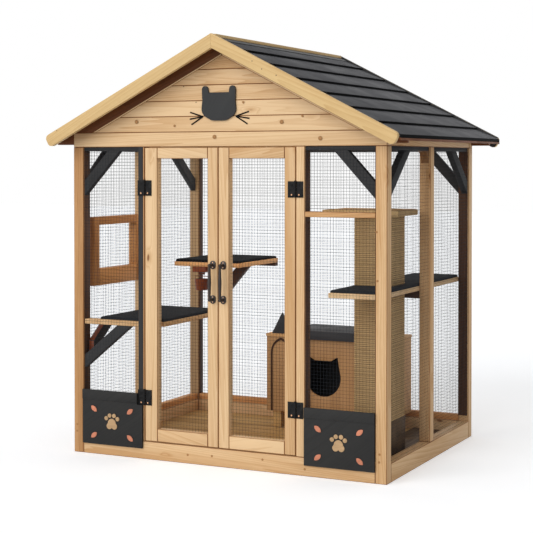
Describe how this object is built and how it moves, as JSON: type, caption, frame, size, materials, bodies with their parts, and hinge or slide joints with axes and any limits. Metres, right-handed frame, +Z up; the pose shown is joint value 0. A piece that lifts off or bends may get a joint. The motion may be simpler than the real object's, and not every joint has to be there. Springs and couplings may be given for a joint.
{
  "type": "cat enclosure",
  "caption": "Free-standing outdoor cat enclosure in pine and wire mesh with a pitched boarded roof, double doors, shelves, scratching column and a small sleeping house.",
  "frame": {"origin": "ground plane, at the centre of the outer bounds of the roof", "axes": "+X to the right as seen from the doors, +Y to the back, +Z up"},
  "size_m": [1.735, 1.447, 1.9081],
  "materials": {
    "pine": "clear-coated softwood with knots",
    "dark_stain": "dark brown stain, matt",
    "brown_wood": "mid brown stain, satin",
    "floor_wood": "weathered tan boards",
    "black_paint": "charcoal wood paint, low sheen",
    "roof_paint": "slate-coloured wood paint, low sheen",
    "wire_mesh": "dark coated welded wire",
    "black_iron": "black hammered paint",
    "grey_felt": "needled felt",
    "sisal": "woven sisal matting",
    "tan_paint": "painted figures on thin wood",
    "red_wood": "reddish-brown turned wood"
  },
  "bodies": {
    "frame": {"base_rails": "pine", "floor_deck": "floor_wood", "floor_mat": "grey_felt", "corner_posts": "pine", "mid_posts": "pine", "door_jambs": "pine", "wall_plates": "pine", "sill_rails": "brown_wood", "dark_rails": "black_paint", "inner_linings": "dark_stain", "front_cross_rail": "pine", "knee_braces": "black_paint", "front_mesh": "wire_mesh", "side_mesh": "wire_mesh", "rear_mesh": "wire_mesh", "kick_panels": "black_paint", "kick_motifs": "tan_paint", "gable_boards": "pine", "roof_frame": "pine", "roof_deck": "dark_stain", "left_roof_boards": "roof_paint", "right_roof_boards": "roof_paint", "ridge_flashing": "roof_paint", "ridge_batten": "pine", "bargeboards": "pine", "gable_rafters": "dark_stain", "rear_bargeboards": "black_paint", "cat_plaque": "black_paint", "left_shelf_board": "pine", "left_shelf_mat": "grey_felt", "left_shelf_braces": "black_paint", "rear_shelf_board": "pine", "rear_shelf_mat": "grey_felt", "rear_shelf_supports": "dark_stain", "right_shelf_board": "pine", "right_shelf_mat": "grey_felt", "right_shelf_bearer": "dark_stain", "column_plinth": "dark_stain", "column_core": "brown_wood", "column_matting": "sisal", "top_platform": "sisal", "house_bearers": "dark_stain", "house_box": "brown_wood", "house_front": "brown_wood", "house_arch_trim": "brown_wood", "house_roof": "black_paint", "hinge_plates": "black_iron", "hinge_pins": "black_iron", "hatch_surround": "brown_wood", "cup_block": "red_wood"},
    "left_door": {"left_door_frame": "pine", "left_door_mesh": "wire_mesh", "left_door_hinges": "black_iron", "left_handle": "black_iron"},
    "right_door": {"right_door_frame": "pine", "right_door_mesh": "wire_mesh", "right_door_hinges": "black_iron", "right_handle": "black_iron"},
    "hatch": {"hatch_frame": "brown_wood", "hatch_mesh": "wire_mesh", "hatch_straps": "black_iron"},
    "cup": {"hanging_cup": "red_wood"}
  },
  "joints": [
    {"name": "left_door_hinge", "type": "hinge", "parent": "frame", "child": "left_door", "pos_m": [-0.395, -0.6253, 0.7565], "axis": [0, 0, -1], "range_deg": [0, 110]},
    {"name": "right_door_hinge", "type": "hinge", "parent": "frame", "child": "right_door", "pos_m": [0.358, -0.6253, 0.7565], "axis": [0, 0, 1], "range_deg": [0, 110]},
    {"name": "hatch_hinge", "type": "hinge", "parent": "frame", "child": "hatch", "pos_m": [-0.7207, -0.094, 0.928], "axis": [0, 0, 1], "range_deg": [0, 105]},
    {"name": "cup_swing", "type": "hinge", "parent": "frame", "child": "cup", "pos_m": [-0.4875, 0.0885, 0.79], "axis": [1, 0, 0], "range_deg": [-20, 20]}
  ]
}
